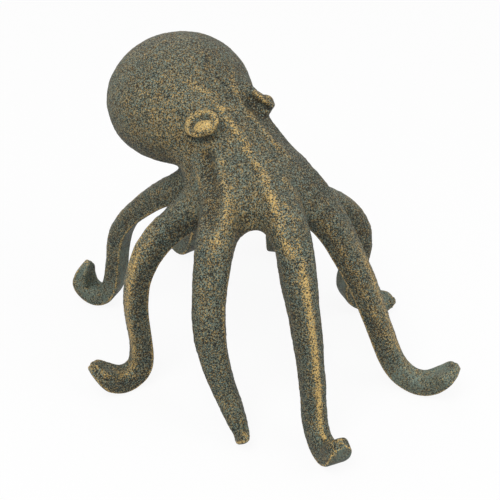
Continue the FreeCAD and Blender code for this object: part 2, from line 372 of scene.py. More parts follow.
@dataclass
class BodyForm:
    """Mantle, neck, crown and brows, as they blend into one skin."""

    mantle_centre: Triple = (0.0, 53.6, 126.4)
    mantle_radii: Triple = (36.1, 35.4, 32.0)
    mantle_tilt: float = -17.4
    neck_back: Triple = (0.0, 40.0, 126.0)
    neck_front: Triple = (0.0, -12.0, 105.0)
    neck_radii: Pair = (22.5, 17.5)
    neck_squash: float = 1.16
    crown_centre: Triple = (0.0, -4.0, 101.0)
    crown_radii: Triple = (31.0, 33.0, 13.0)
    crown_tilt: float = 8.0
    brow_centre: Triple = (13.0, 22.5, 138.0)
    brow_radii: Triple = (6.0, 7.0, 5.0)
    flank_start: Triple = (13.0, 9.0, 121.0)
    flank_end: Triple = (24.5, -11.0, 97.0)
    flank_radii: Pair = (8.0, 5.5)
    mantle_fillet: float = 10.0
    crown_fillet: float = 12.0
    brow_fillet: float = 5.0

    def mantle(self, points: Array) -> Array:
        """Distance to the mantle alone."""
        return ellipsoid(points, self.mantle_centre, self.mantle_radii, self.mantle_tilt)

    def distance(self, points: Array) -> Array:
        """Distance to the mantle, neck and crown together.

        Args:
            points: rows of points.

        Returns:
            Distances, negative inside.
        """
        neck = round_cone(points, self.neck_back, self.neck_front, self.neck_radii, self.neck_squash)
        found = smooth_min(self.mantle(points), neck, self.mantle_fillet)
        crown = ellipsoid(points, self.crown_centre, self.crown_radii, self.crown_tilt)
        found = smooth_min(found, crown, self.crown_fillet)
        folded = np.abs(points * np.array([1, 0, 0])) + points * np.array([0, 1, 1])
        found = smooth_min(found, ellipsoid(folded, self.brow_centre, self.brow_radii), self.brow_fillet)
        flank = round_cone(folded, self.flank_start, self.flank_end, self.flank_radii)
        return smooth_min(found, flank, self.brow_fillet)


@dataclass
class HollowForm:
    """Hollow of the head, with the mouth under it through which the core was held."""

    centre: Triple = (0.0, -8.0, 103.0)
    radii: Triple = (21.0, 18.0, 12.0)
    mouth_centre: Pair = (0.0, -7.0)
    mouth_radii: Pair = (16.0, 19.0)
    mouth_top: float = 102.0
    mouth_edge: float = 1.0
    mouth_fillet: float = 3.0

    def distance(self, points: Array) -> Array:
        """Distance to the hollow.

        Args:
            points: rows of points.

        Returns:
            Distances, negative inside it.
        """
        dome = ellipsoid(points, self.centre, self.radii)
        flat = (points[:, :2] - np.array(self.mouth_centre)) / np.array(self.mouth_radii)
        shaft = (np.linalg.norm(flat, axis=1) - 1) * min(self.mouth_radii)
        mouth = smooth_max(shaft, points[:, 2] - self.mouth_top, self.mouth_edge)
        return smooth_min(dome, mouth, self.mouth_fillet)


@dataclass
class EyeForm:
    """One eye: an oval lid ring round a ball, on a low boss that looks outwards and up."""

    side: Side
    centre: Triple = (15.9, 13.0, 132.2)
    radii: Triple = (6.0, 8.0, 5.6)
    looks: Triple = (0.66, -0.12, 0.75)
    lies_along: Triple = (-0.526, -0.777, 0.346)
    lid_radii: Pair = (6.9, 5.2)
    lid_half: float = 1.6
    lid_height: float = 4.4
    lid_fillet: float = 1.6
    ball_radii: Triple = (5.4, 3.4, 3.0)
    ball_place: Triple = (1.5, -2.2, 4.6)
    ball_fillet: float = 0.7
    shine: float = 1.0
    cut_radius: float = 9.4
    cut_height: float = 12.0
    depth: float = 4.0
    marked_above: float = 2.0
    lid_band: float = 1.3
    lid_gold: Pair = (0.12, 0.30)
    lid_slant: float = 0.6
    lid_fade: Pair = (0.0, 4.0)
    ball_gold: float = 0.65
    ball_edge: Pair = (0.75, 1.05)
    groove_place: Pair = (1.14, 0.17)
    groove_fade: Pair = (1.5, 4.5)

    def __post_init__(self) -> None:
        """Place the eye on its side of the head."""
        hand = np.array([self.side.value, 1, 1])
        self.middle = hand * np.array(self.centre)
        self.axis = unit(hand * np.array(self.looks))
        forward = hand * np.array(self.lies_along)
        self.forward = unit(forward - self.axis * (forward @ self.axis))
        self.upward = -self.side.value * np.cross(self.axis, self.forward)

    def place(self, points: Array) -> tuple[Array, Array, Array]:
        """Coordinates along the eye, across it and out of it."""
        rel = points - self.middle
        return rel @ self.forward, rel @ self.upward, rel @ self.axis

    def from_lid(self, points: Array) -> Array:
        """Distance from the oval that the lid ring follows, seen along the eye's axis."""
        along, across, _ = self.place(points)
        return (np.hypot(along / self.lid_radii[0], across / self.lid_radii[1]) - 1) * min(self.lid_radii)

    def distance(self, points: Array) -> Array:
        """Distance to the boss, its lid ring and its ball.

        Args:
            points: rows of points.

        Returns:
            Distances, negative inside.
        """
        boss = ellipsoid(points, tuple(self.middle), self.radii)
        spot = np.stack(self.place(points), 1)
        ring = np.hypot(self.from_lid(points), spot[:, 2] - self.lid_height) - self.lid_half
        ball = ellipsoid(spot, self.ball_place, self.ball_radii)
        return smooth_min(smooth_min(boss, ring, self.lid_fillet), ball, self.ball_fillet)

    def marks(self, points: Array) -> tuple[Array, Array]:
        """Gold on the ball and the lid ring, and shade in the groove between them.

        Args:
            points: rows of points.

        Returns:
            Gold and shade, each from 0 to 1.
        """
        around = self.from_lid(points)
        along, across, height = self.place(points)
        front = (height > self.marked_above) & (np.hypot(along, across) < self.cut_radius)
        ball = np.hypot((along - self.ball_place[0]) / self.ball_radii[0],
                        (across - self.ball_place[1]) / self.ball_radii[1])
        low, more = self.lid_gold
        lit = low + more * ramp(across - self.lid_slant * along, *self.lid_fade)
        lid = bell(around, 0, self.lid_band) * lit
        gold = np.maximum(self.ball_gold * (1 - ramp(ball, *self.ball_edge)), lid)
        groove = bell(ball, *self.groove_place) * (1 - ramp(along, *self.groove_fade))
        return gold * front * self.shine, groove * front

    def from_axis(self, points: Array) -> tuple[Array, Array]:
        """Place of points round the eye's axis.

        Args:
            points: rows of points.

        Returns:
            Distance from the axis, and height along it.
        """
        rel = points - self.middle
        height = rel @ self.axis
        return np.linalg.norm(rel - height[:, None] * self.axis, axis=1), height


@dataclass
class ReliefLine:
    """A line cast into the surface, through points on it."""

    mark: Mark
    points: Sequence[Triple]
    width: float
    height: float
    rub: float
    mirrored: bool = False
    curve_steps: int = 12
    widths_seen: float = 4.0

    def nearness(self, points: Array) -> Array:
        """How near points are to the line, 1 on it and 0 well away.

        Args:
            points: rows of points.

        Returns:
            Nearness from 0 to 1.
        """
        knots = natural_curve(np.array(self.points, float), self.curve_steps)
        found = np.zeros(len(points))
        for hand in ((1, -1) if self.mirrored else (1,)):
            line = knots * np.array([hand, 1, 1])
            reach = self.widths_seen * self.width
            low, high = line.min(0) - reach, line.max(0) + reach
            close = np.flatnonzero(((points > low) & (points < high)).all(1))
            if not len(close):
                continue
            near = np.full(len(close), FAR)
            for start, end in zip(line, line[1:]):
                span = end - start
                share = np.clip((points[close] - start) @ span / (span @ span), 0, 1)
                gap = np.linalg.norm(points[close] - start - share[:, None] * span, axis=1)
                near = np.minimum(near, gap)
            found[close] = np.maximum(found[close], bell(near, 0, self.width))
        return found


@dataclass
class WebArch:
    """Round-topped opening cut outwards through the web between two arms."""

    bearing: float
    start: float
    height: float
    radius: float
    base: float = -7.0

    def distance(self, points: Array) -> Array:
        """Distance to the opening, negative inside it.

        Args:
            points: rows of points.

        Returns:
            Distances to a round-nosed tunnel that is open below.
        """
        angle = math.radians(self.bearing)
        out, side = (math.cos(angle), math.sin(angle)), (-math.sin(angle), math.cos(angle))
        away = points[:, 0] * out[0] + (points[:, 1] - self.base) * out[1]
        across = points[:, 0] * side[0] + (points[:, 1] - self.base) * side[1]
        short = np.maximum(self.start - away, 0)
        over = np.maximum(points[:, 2] - self.height, 0)
        return np.sqrt(short**2 + across**2 + over**2) - self.radius


@dataclass
class Figure:
    """The whole form: body, arms, eyes and hollow, cut flat where it stands."""

    body: BodyForm
    arms: Sequence[ArmForm]
    arches: Sequence[WebArch]
    eyes: Sequence[EyeForm]
    hollow: HollowForm
    eye_fillet: float = 2.0
    rim_round: float = 2.0
    arch_round: float = 5.0
    ground_round: float = 0.5

    def join(self, points: Array, arms: Sequence[Array]) -> Array:
        """Distance to the whole form, from the distances to its arms.

        Args:
            points: rows of points.
            arms: distances to each arm, or a far value where it can't matter.

        Returns:
            Distances, negative inside.
        """
        found = self.body.distance(points)
        for form, gap in zip(self.arms, arms):
            found = smooth_min(found, gap, form.blend)
        for eye in self.eyes:
            found = smooth_min(found, eye.distance(points), self.eye_fillet)
        for arch in self.arches:
            found = smooth_max(found, -arch.distance(points), self.arch_round)
        found = smooth_max(found, -self.hollow.distance(points), self.rim_round)
        return smooth_max(found, -points[:, 2], self.ground_round)


@dataclass
class Skin:
    """Surface of the figure, found on a fine grid that is filled only close to it."""

    figure: Figure
    voxel: float
    block: int = 8
    batch: int = 400
    half_diagonal: float = 0.87
    steepness: float = 1.3
    slack: float = 0.6
    arm_slack: float = 1.5
    low: Triple = (-94.0, -114.0, -3.0)
    high: Triple = (94.0, 114.0, 168.0)
    vertices: Array = field(init=False)
    quads: Array = field(init=False)
    normals: Array = field(init=False)

    def build(self) -> None:
        """Find the blocks near the surface, sample them and join their cells."""
        span = self.voxel * self.block
        self.counts = np.ceil((np.array(self.high) - np.array(self.low)) / span).astype(np.int64)
        grid = np.meshgrid(*(np.arange(count) for count in self.counts), indexing="ij")
        blocks = np.stack(grid, -1).reshape(-1, 3)
        middles = np.array(self.low) + (blocks + 0.5) * span
        gaps = [arm.distance(middles) for arm in self.figure.arms]
        reach = span * self.half_diagonal
        near = np.abs(self.figure.join(middles, gaps)) < reach * self.steepness + self.slack
        self.blocks = blocks[near]
        touched = [gap[near] < reach + arm.blend + self.arm_slack for arm, gap in zip(self.figure.arms, gaps)]
        fields = self._sample(self.blocks, touched)
        self._nets(fields)

    def _sample(self, blocks: Array, touched: Sequence[Array]) -> Array:
        """Distances at the corners of all cells of the blocks.

        Args:
            blocks: rows of block numbers.
            touched: for each arm, which blocks it can matter in.

        Returns:
            Distances, one small cube of them for each block.
        """
        side = self.block + 1
        inner = np.stack(np.meshgrid(*(np.arange(side),) * 3, indexing="ij"), -1).reshape(-1, 3)
        fields = np.empty((len(blocks), side**3), np.float32)
        for start in range(0, len(blocks), self.batch):
            part = slice(start, start + self.batch)
            corners = blocks[part, None, :] * self.block + inner[None]
            points = np.array(self.low) + corners.reshape(-1, 3) * self.voxel
            gaps = []
            for arm, mask in zip(self.figure.arms, touched):
                gap = np.full(len(points), FAR)
                inside = np.repeat(mask[part], side**3)
                if inside.any():
                    gap[inside] = arm.distance(points[inside])
                gaps.append(gap)
            fields[part] = self.figure.join(points, gaps).reshape(-1, side**3)
        return fields.reshape(-1, side, side, side)

    def _keys(self, cells: Array) -> Array:
        """One number for each cell, in the order of the cells."""
        size = self.counts * self.block + 2
        return ((cells[:, 0] + 1) * size[1] + cells[:, 1] + 1) * size[2] + cells[:, 2] + 1

    def _nets(self, fields: Array) -> None:
        """One vertex in each cell that the surface crosses, one quad for each crossed edge.

        Args:
            fields: distances at the corners of the cells.
        """
        n = self.block
        inside = fields < 0
        filled = np.zeros((len(fields), n, n, n), np.int8)
        corners = list(np.ndindex(2, 2, 2))
        for i, j, k in corners:
            filled += inside[:, i:n + i, j:n + j, k:n + k]
        found = np.argwhere((filled > 0) & (filled < 8))
        total, weight = np.zeros((len(found), 3)), np.zeros(len(found))
        block, i, j, k = found.T
        value = [fields[block, i + a, j + b, k + c] for a, b, c in corners]
        for first in range(8):
            for second in range(first + 1, 8):
                step = np.array(corners[second]) - np.array(corners[first])
                if np.abs(step).sum() != 1:
                    continue
                start, end = value[first], value[second]
                crossed = (start < 0) != (end < 0)
                share = start[crossed] / (start[crossed] - end[crossed])
                total[crossed] += np.array(corners[first]) + step * share[:, None]
                weight[crossed] += 1
        cells = self.blocks[block] * n + found[:, 1:]
        places = np.array(self.low) + (cells + total / weight[:, None]) * self.voxel
        keys = self._keys(cells)
        order = np.argsort(keys)
        keys, self.vertices = keys[order], places[order]
        quads = []
        for axis in range(3):
            ahead = [slice(0, n)] * 3
            ahead[axis] = slice(1, n + 1)
            here, there = inside[:, :n, :n, :n], inside[(slice(None), *ahead)]
            edge = np.argwhere(here != there)
            cell = self.blocks[edge[:, 0]] * n + edge[:, 1:]
            second, third = (axis + 1) % 3, (axis + 2) % 3
            ring = []
            for back, down in ((1, 1), (0, 1), (0, 0), (1, 0)):
                other = cell.copy()
                other[:, second] -= back
                other[:, third] -= down
                ring.append(self._keys(other))
            ring = np.stack(ring, 1)
            index = np.searchsorted(keys, ring).clip(0, len(keys) - 1)
            whole = (keys[index] == ring).all(1)
            if not whole.all():
                LOG.warning("%d edges lack a cell", int((~whole).sum()))
            inward = here[tuple(edge.T)]
            index[~inward] = index[~inward][:, ::-1]
            quads.append(index[whole])
        self.quads = np.concatenate(quads)
        self.find_normals()

    def find_normals(self) -> None:
        """Normals of the vertices, from the faces round each."""
        corner = self.vertices[self.quads]
        face = np.cross(corner[:, 2] - corner[:, 0], corner[:, 3] - corner[:, 1])
        total = np.stack([
            np.bincount(self.quads.ravel(), np.repeat(face[:, k], 4), len(self.vertices)) for k in range(3)
        ], 1)
        self.normals = unit(total)

    def smoothed(self, rounds: int) -> Array:
        """Vertices moved towards the middle of their neighbours, over and over.

        Args:
            rounds: how many times.

        Returns:
            The moved vertices.
        """
        start = self.quads.ravel()
        end = np.roll(self.quads, -1, axis=1).ravel()
        ends, others = np.concatenate([start, end]), np.concatenate([end, start])
        count = np.maximum(np.bincount(ends, minlength=len(self.vertices)), 1)
        moved = self.vertices
        for _ in range(rounds):
            moved = np.stack([np.bincount(ends, moved[others, k], len(moved)) / count for k in range(3)], 1)
        return moved


@dataclass
class Patch:
    """Faces of the skin that belong to one casting, closed with fans at its joints."""

    name: str
    vertices: Array
    faces: list[Array]
    normals: Array
    masks: dict[str, Array]


@dataclass
class Splitter:
    """Parts the skin into castings along the planes and rings where they are joined."""

    skin: Skin
    neck_middle: Triple = (0.0, 24.0, 119.5)
    neck_lean: float = 12.7
    neck_reach: float = 1.0
    arm_reach: float = 4.0
    slide_limit: float = 0.7
    least_slope: float = 0.2

    def __post_init__(self) -> None:
        """Turn the neck's lean into the direction in which the mantle leaves the head."""
        lean = math.radians(self.neck_lean)
        self.neck_axis = np.array([0.0, math.cos(lean), math.sin(lean)])

    def labels(self) -> tuple[Array, list[str]]:
        """Casting of each face, as a number, and the names of the castings.

        Returns:
            One number for each face, and the names that they stand for.
        """
        figure = self.skin.figure
        names = ["head_crown", "mantle_shell"]
        names += [f"eye_{eye.side.name.lower()}" for eye in figure.eyes] + [arm.name for arm in figure.arms]
        middles = self.skin.vertices[self.skin.quads].mean(1)
        found = np.full(len(middles), HEAD)
        gaps = np.stack([arm.distance(middles) for arm in figure.arms], 1)
        nearest, least = gaps.argmin(1), gaps.min(1)
        ahead = (middles - np.array(self.neck_middle)) @ self.neck_axis
        found[(ahead > 0) & (figure.body.mantle(middles) < least)] = MANTLE
        for index, eye in enumerate(figure.eyes):
            away, height = eye.from_axis(middles)
            found[(away < eye.cut_radius) & (np.abs(height) < eye.cut_height)] = FIRST_EYE + index
        for index, arm in enumerate(figure.arms):
            spot = arm.locate(middles)["spot"] * arm.step
            found[(nearest == index) & (spot > arm.joint) & (least < self.arm_reach)] = FIRST_ARM + index
        return found, names

    def align(self, labels: Array) -> None:
        """Slide the vertices between two castings onto the joint between them.

        Args:
            labels: casting of each face.
        """
        skin, figure = self.skin, self.skin.figure
        count = FIRST_ARM + len(figure.arms)
        low, high = np.full(len(skin.vertices), count), np.full(len(skin.vertices), -1)
        np.minimum.at(low, skin.quads.ravel(), np.repeat(labels, 4))
        np.maximum.at(high, skin.quads.ravel(), np.repeat(labels, 4))
        for number in range(MANTLE, count):
            edge = np.flatnonzero((low == HEAD) & (high == number))
            points, normals = skin.vertices[edge], skin.normals[edge]
            if number == MANTLE:
                middle, across = np.array(self.neck_middle), self.neck_axis
                off = (points - middle) @ across
                near = np.abs(off) < self.neck_reach
                edge, points, normals, off = edge[near], points[near], normals[near], off[near]
                way = np.broadcast_to(across, points.shape)
            elif number < FIRST_ARM:
                eye = figure.eyes[number - FIRST_EYE]
                away, height = eye.from_axis(points)
                off = away - eye.cut_radius
                way = unit(points - eye.middle - height[:, None] * eye.axis)
            else:
                middle, across = figure.arms[number - FIRST_ARM].joint_plane()
                off = (points - middle) @ across
                way = np.broadcast_to(across, points.shape)
            slide = way - (way * normals).sum(1)[:, None] * normals
            slide = slide / np.maximum((slide * way).sum(1), self.least_slope)[:, None]
            skin.vertices[edge] -= np.clip(off, -self.slide_limit, self.slide_limit)[:, None] * slide

    def apex(self, first: int, second: int) -> Array:
        """Point inside a joint from which the fan that closes it spreads.

        Args:
            first: number of one casting at the joint.
            second: number of the other.

        Returns:
            The point.
        """
        other = max(first, second)
        figure = self.skin.figure
        if other == MANTLE:
            return np.array(self.neck_middle)
        if other < FIRST_ARM:
            eye = figure.eyes[other - FIRST_EYE]
            return eye.middle - eye.axis * eye.depth
        return figure.arms[other - FIRST_ARM].joint_plane()[0]

    def part(self, labels: Array, names: Sequence[str], masks: dict[str, Array]) -> list[Patch]:
        """Cut the skin into its castings.

        Args:
            labels: casting of each face.
            names: names of the castings.
            masks: values of each vertex that the finish reads.

        Returns:
            One closed patch for each casting.
        """
        quads = self.skin.quads
        start, end = quads.ravel(), np.roll(quads, -1, axis=1).ravel()
        owner = np.repeat(labels, 4)
        size = len(self.skin.vertices)
        forward, back = start * size + end, end * size + start
        order = np.argsort(forward)
        at = np.searchsorted(forward[order], back).clip(0, len(forward) - 1)
        met = forward[order][at] == back
        neighbour = np.where(met, owner[order][at], owner)
        patches = []
        for number, name in enumerate(names):
            faces = quads[labels == number]
            rim = np.flatnonzero((owner == number) & (neighbour != number))
            used, inverse = np.unique(faces.ravel(), return_inverse=True)
            fans, tips = [], []
            for other in np.unique(neighbour[rim]):
                edges = rim[neighbour[rim] == other]
                tip = len(used) + len(tips)
                tips.append(self.apex(number, int(other)))
                first = np.searchsorted(used, start[edges])
                second = np.searchsorted(used, end[edges])
                fans.append(np.stack([second, first, np.full(len(edges), tip)], 1))
            vertices = np.concatenate([self.skin.vertices[used], np.array(tips).reshape(-1, 3)])
            none = np.zeros(len(tips))
            kept = {key: np.concatenate([values[used], none]) for key, values in masks.items()}
            faces = [inverse.reshape(-1, 4), *fans]
            patches.append(Patch(name, vertices, faces, self.skin.normals[used], kept))
        return patches


class Value:
    """One socket of a shader, with the operators that add a Math node for each use."""

    def __init__(self, bench: "Bench", socket: Any) -> None:
        """Hold a socket of the bench's tree."""
        self.bench, self.socket = bench, socket

    def __add__(self, other: Any) -> "Value":
        """Sum."""
        return self.bench.math("ADD", self, other)

    __radd__ = __add__

    def __mul__(self, other: Any) -> "Value":
        """Product."""
        return self.bench.math("MULTIPLY", self, other)

    __rmul__ = __mul__

    def __sub__(self, other: Any) -> "Value":
        """Difference."""
        return self.bench.math("SUBTRACT", self, other)

    def __rsub__(self, other: Any) -> "Value":
        """Difference from a number."""
        return self.bench.math("SUBTRACT", other, self)

    def clamp(self) -> "Value":
        """The value kept from 0 to 1."""
        return self.bench.math("ADD", self, 0.0, clamp=True)

    def steep(self, low: float, high: float) -> "Value":
        """Smooth step from 0 at low to 1 at high.

        Args:
            low: value at which the step begins.
            high: value at which it ends.

        Returns:
            The stepped value.
        """
        return self.bench.node("ShaderNodeMapRange", {"interpolation_type": "SMOOTHSTEP"},
                               {"Value": self, "From Min": low, "From Max": high})


class Bench:
    """A node tree and the few ways in which nodes are added to it."""

    def __init__(self, tree: Any) -> None:
        """Empty the tree.

        Args:
            tree: node tree of a material or of the world.
        """
        self.tree = tree
        tree.nodes.clear()

    def node(self, kind: str, settings: dict[str, Any], sockets: dict[Any, Any], out: Any = 0) -> Value:
        """Add a node.

        Args:
            kind: Blender's name of its type.
            settings: what is set on the node before its inputs.
            sockets: numbers, colours or links for its inputs.
            out: which of its outputs is wanted.

        Returns:
            The wanted output.
        """
        made = self.tree.nodes.new(kind)
        for key, value in settings.items():
            setattr(made, key, value)
        for key, value in sockets.items():
            if isinstance(value, Value):
                self.tree.links.new(value.socket, made.inputs[key])
            else:
                made.inputs[key].default_value = value
        return Value(self, made.outputs[out]) if len(made.outputs) else Value(self, made)

    def math(self, operation: str, first: Any, second: Any, clamp: bool = False) -> Value:
        """Add a Math node on two values."""
        settings = {"operation": operation, "use_clamp": clamp}
        return self.node("ShaderNodeMath", settings, {0: first, 1: second})

    def tint(self, share: Any, first: Any, second: Any) -> Value:
        """Mix two colours, share of the way from the first to the second."""
        sockets = {"Factor": share, "A": first, "B": second}
        return self.node("ShaderNodeMix", {"data_type": "RGBA"}, sockets, 2)

    def noise(self, place: Value, size: float, detail: float = 2.0, rough: float = 0.5) -> Value:
        """Noise of a given grain size in metres, about 0.5 in the mean.

        Args:
            place: coordinates in metres.
            size: grain size in metres.
            detail: how many finer layers it has.
            rough: how strong those layers are.

        Returns:
            The noise.
        """
        return self.node("ShaderNodeTexNoise", {"noise_dimensions": "3D"},
                         {"Vector": place, "Scale": 1 / size, "Detail": detail, "Roughness": rough})

    def seen(self) -> Value:
        """1 for rays that look at a surface straight, by reflection or through glass, and 0 for light.

        Returns:
            The value.
        """
        straight = self.node("ShaderNodeLightPath", {}, {}, "Is Camera Ray")
        outputs = straight.socket.node.outputs
        glossy, through = Value(self, outputs["Is Glossy Ray"]), Value(self, outputs["Is Transmission Ray"])
        return (straight + glossy + through).clamp()

    def mask(self, name: str) -> Value:
        """Value that each vertex of the casting carries under this name."""
        return self.node("ShaderNodeAttribute", {"attribute_name": name}, {}, "Fac")


def paint(red: float, green: float, blue: float) -> Colour:
    """Linear colour from the shades of a display.

    Args:
        red: red shade from 0 to 255.
        green: green shade from 0 to 255.
        blue: blue shade from 0 to 255.

    Returns:
        The colour in linear light, with its alpha.
    """
    def linear(shade: float) -> float:
        """One channel in linear light."""
        share = shade / 255
        return share / 12.92 if share <= 0.04045 else ((share + 0.055) / 1.055) ** 2.4

    return linear(red), linear(green), linear(blue), 1.0


@dataclass(frozen=True)
class VerdigrisIron:
    """Sand-cast iron, painted grey-green, dark in its pores and rubbed with gold on its heights; the same
    dark and gold also paint shade and light where its masks say.
    """

    name: str = "verdigris_iron"
    green: Colour = paint(83, 97, 87)
    sage: Colour = paint(106, 110, 92)
    mist: Colour = paint(134, 150, 138)
    umber: Colour = paint(94, 74, 42)
    # Dark of the pores, also the colour of the painted shade.
    pore_dark_and_shade: Colour = paint(24, 24, 19)
    gold: Colour = paint(222, 190, 122)
    old_gold: Colour = paint(164, 130, 72)
    cloud_size: float = 0.014
    patch_size: float = 0.0045
    speck_size: float = 0.0008
    sand_size: float = 0.00042
    fleck_size: float = 0.00066
    sage_step: Pair = (0.38, 0.62)
    warm_cover: float = 0.75
    warm_patch: float = 1.6
    warm_speck: float = 0.8
    speck_share: float = 0.6
    grit_share: float = 0.5
    pale_grain: float = 7.0
    pale_fleck: float = 8.0
    pale_bare: float = 0.8
    pale_start: float = 0.10
    dark_pores_and_shade: float = 1.5
    dark_grain: float = 22.0
    dark_patch: float = 2.2
    dark_start: float = 0.04
    dark_cover: float = 0.95
    gold_weight: float = 2.0
    gold_grain: float = 8.0
    gold_fleck: float = 10.0
    gold_patch: float = 2.6
    gold_start: float = 0.80
    gold_cover: float = 0.48
    glint_grain: float = 5.0
    glint_weight: float = 0.9
    glint_start: float = 0.05
    grain_strength: float = 0.9
    grain_depth: float = 0.0011
    gold_metal: float = 0.45
    paint_roughness: float = 0.66
    gold_polish: float = 0.20
    specular: float = 0.35

    def make(self) -> bpy.types.Material:
        """Build the material.

        Returns:
            The material, which reads four masks of each vertex: gold, dark pores, brown and sand grain; the
            gold mask also carries painted light, and the dark mask also carries painted shade.
        """
        material = bpy.data.materials.new(self.name)
        material.use_nodes = True
        bench = Bench(material.node_tree)
        place = bench.node("ShaderNodeTexCoord", {}, {}, "Object")
        # The first mask is gold with painted light in it; the second is real dark pores with painted shade in
        # it.
        rub, pit = bench.mask("rub"), bench.mask("pit")
        warm, sand = bench.mask("warm"), bench.mask("sand")
        cloud = bench.noise(place, self.cloud_size, 3.0, 0.6)
        patch = bench.noise(place, self.patch_size, 3.0, 0.6)
        speck = bench.noise(place, self.speck_size, 2.0, 0.7)
        grit = bench.noise(place, self.sand_size, 2.0, 0.6)
        fleck = bench.noise(place, self.fleck_size, 2.0, 0.7)
        colour = bench.tint((cloud + patch - 0.5).steep(*self.sage_step), self.green, self.sage)
        brown = warm * self.warm_cover + (patch - 0.5) * self.warm_patch * warm
        brown = (brown + (speck - 0.5) * self.warm_speck * sand).clamp()
        colour = bench.tint(brown, colour, self.umber)
        grain = (speck - 0.5) * self.speck_share + (grit - 0.5) * self.grit_share
        pale = grain * self.pale_grain * sand - (fleck - 0.5) * self.pale_fleck * sand
        pale = pale + (cloud - 0.5) + (1.0 - sand) * self.pale_bare - self.pale_start
        colour = bench.tint(pale.clamp(), colour, self.mist)
        # Dark from the real pores and grain, and from the painted shade of the dark mask.
        dark = pit * self.dark_pores_and_shade - grain * self.dark_grain * sand
        dark = (dark + (patch - 0.5) * self.dark_patch - self.dark_start).clamp()
        colour = bench.tint(dark * self.dark_cover, colour, self.pore_dark_and_shade)
        # Gold, including the painted light that the gold mask carries.
        bright = rub * self.gold_weight + grain * self.gold_grain + (fleck - 0.5) * self.gold_fleck
        bright = (bright + (patch - 0.5) * self.gold_patch - self.gold_start).clamp()
        bright = bright * (rub + self.gold_cover).clamp()
        glint = (grain * self.glint_grain + rub * self.glint_weight + self.glint_start).clamp()
        colour = bench.tint(bright, colour, bench.tint(glint, self.old_gold, self.gold))
        bump = bench.node("ShaderNodeBump", {}, {
            "Strength": self.grain_strength, "Distance": self.grain_depth, "Height": grain * sand})
        shader = bench.node("ShaderNodeBsdfPrincipled", {}, {
            "Base Color": colour, "Metallic": (bright * self.gold_metal).clamp(),
            "Roughness": self.paint_roughness - bright * self.gold_polish,
            "Normal": bump, "Specular IOR Level": self.specular})
        bench.node("ShaderNodeOutputMaterial", {}, {"Surface": shader})
        return material


@dataclass(frozen=True)
class StudioPaper:
    """White floor that shows as white and keeps the figurine's soft shadow."""

    name: str = "studio_paper"
    white: Colour = (0.93, 0.93, 0.93, 1.0)
    dim: Colour = (0.40, 0.40, 0.38, 1.0)
    glow: float = 0.91

    def make(self) -> bpy.types.Material:
        """Build the material.

        Returns:
            The material.
        """
        material = bpy.data.materials.new(self.name)
        material.use_nodes = True
        bench = Bench(material.node_tree)
        seen = bench.seen()
        matt = bench.node("ShaderNodeBsdfDiffuse", {}, {"Color": bench.tint(seen, self.dim, self.white)})
        glow = bench.node("ShaderNodeEmission", {}, {"Color": (1, 1, 1, 1), "Strength": 1.0})
        mixed = bench.node("ShaderNodeMixShader", {}, {0: seen * self.glow, 1: matt, 2: glow})
        bench.node("ShaderNodeOutputMaterial", {}, {"Surface": mixed})
        return material


@dataclass
class Casting:
    """One casting of the figurine as a Blender object."""

    patch: Patch
    material: bpy.types.Material

    def build(self) -> bpy.types.Object:
        """Write the mesh, its smooth normals and its masks, and let it stand for its node.

        Returns:
            The object.
        """
        patch = self.patch
        mesh = bpy.data.meshes.new(patch.name)
        sizes = np.concatenate([np.full(len(faces), faces.shape[1]) for faces in patch.faces])
        loops = np.concatenate([faces.ravel() for faces in patch.faces])
        mesh.vertices.add(len(patch.vertices))
        mesh.vertices.foreach_set("co", (patch.vertices * MM).astype(np.float32).ravel())
        mesh.loops.add(len(loops))
        mesh.loops.foreach_set("vertex_index", loops.astype(np.int32))
        mesh.polygons.add(len(sizes))
        starts = np.concatenate([[0], np.cumsum(sizes)[:-1]])
        mesh.polygons.foreach_set("loop_start", starts.astype(np.int32))
        mesh.polygons.foreach_set("loop_total", sizes.astype(np.int32))
        mesh.update(calc_edges=True)
        mesh.polygons.foreach_set("use_smooth", np.ones(len(sizes), bool))
        outer = len(patch.faces[0])
        normals = np.zeros((len(loops), 3))
        normals[:4 * outer] = patch.normals[patch.faces[0].ravel()]
        for fan, first in zip(patch.faces[1:], np.cumsum([4 * outer] + [f.size for f in patch.faces[1:]])):
            corner = patch.vertices[fan]
            flat = unit(np.cross(corner[:, 1] - corner[:, 0], corner[:, 2] - corner[:, 0]))
            normals[first:first + fan.size] = np.repeat(flat, 3, axis=0)
        mesh.normals_split_custom_set(normals)
        for key, values in patch.masks.items():
            mesh.attributes.new(key, "FLOAT", "POINT").data.foreach_set("value", values.astype(np.float32))
        mesh.materials.append(self.material)
        made = bpy.data.objects.new(patch.name + "_cast", mesh)
        bpy.context.scene.collection.objects.link(made)
        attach(made, "root")
        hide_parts(patch.name)
        LOG.info("%s: %d faces", made.name, len(sizes))
        return made


